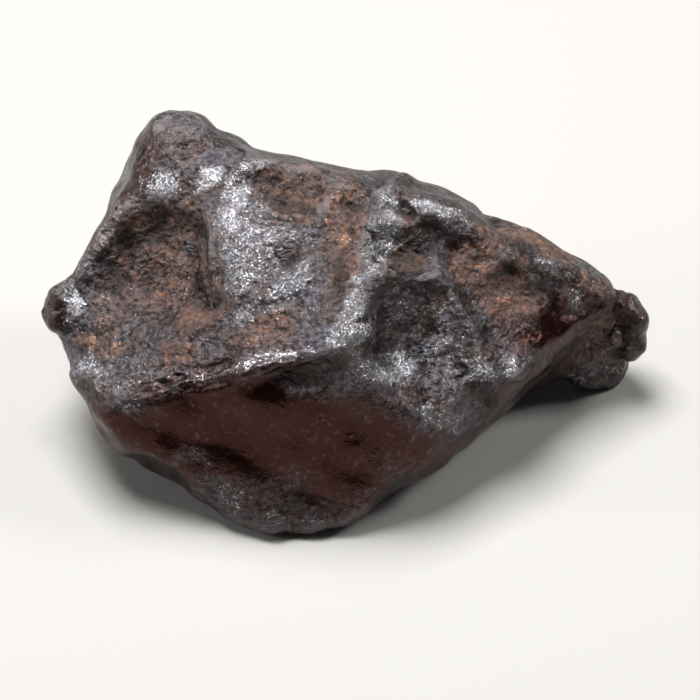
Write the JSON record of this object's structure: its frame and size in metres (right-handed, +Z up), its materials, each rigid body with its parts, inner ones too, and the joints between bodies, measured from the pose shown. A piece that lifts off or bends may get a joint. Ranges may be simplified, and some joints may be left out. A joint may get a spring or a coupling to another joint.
{
  "type": "iron meteorite",
  "caption": "Irregular wedge of iron meteorite with thumbprint hollows, a sharp crest above a smooth front face and a narrow knobbly end, resting on small worn flats.",
  "frame": {"origin": "on the ground, under the middle of the bounding box, level with the worn flats that the stone rests on", "axes": "+X along the stone toward its narrow knobbly end, +Y away from the smooth front face, +Z up"},
  "size_m": [0.0928, 0.0544, 0.0447],
  "materials": {
    "iron": "dark weathered fusion crust, glossy on the worn ridges and the front face, rough and brown in the hollows"
  },
  "bodies": {
    "root": {"meteorite": "iron"}
  },
  "joints": []
}
